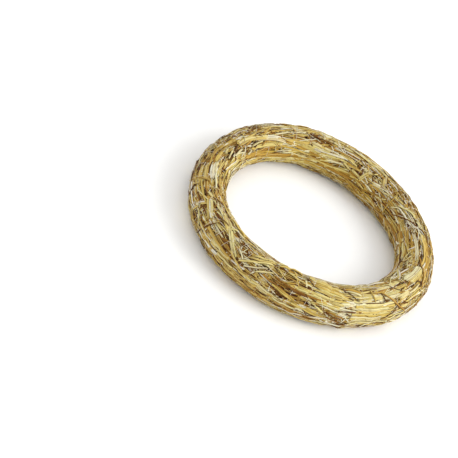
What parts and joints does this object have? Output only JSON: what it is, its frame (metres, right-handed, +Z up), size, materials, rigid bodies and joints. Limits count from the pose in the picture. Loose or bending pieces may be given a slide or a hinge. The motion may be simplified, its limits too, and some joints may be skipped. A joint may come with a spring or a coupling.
{
  "type": "straw wreath base",
  "caption": "Ring of pressed straw bound with fine clear thread, used as a base for wreaths or as a plain ornament, lying flat.",
  "frame": {"origin": "on the surface that the ring lies on, under the middle of the ring", "axes": "+Z up, along the ring's axis; X and Y in the plane of the ring"},
  "size_m": [0.2992, 0.3024, 0.0457],
  "materials": {
    "straw": "dry straw, pale cream to golden brown, faintly waxy, with dark gaps between the stalks",
    "thread": "fine clear nylon thread, whitish where it catches the light"
  },
  "bodies": {
    "root": {"straw_bundle": "straw", "binding_thread": "thread"}
  },
  "joints": []
}
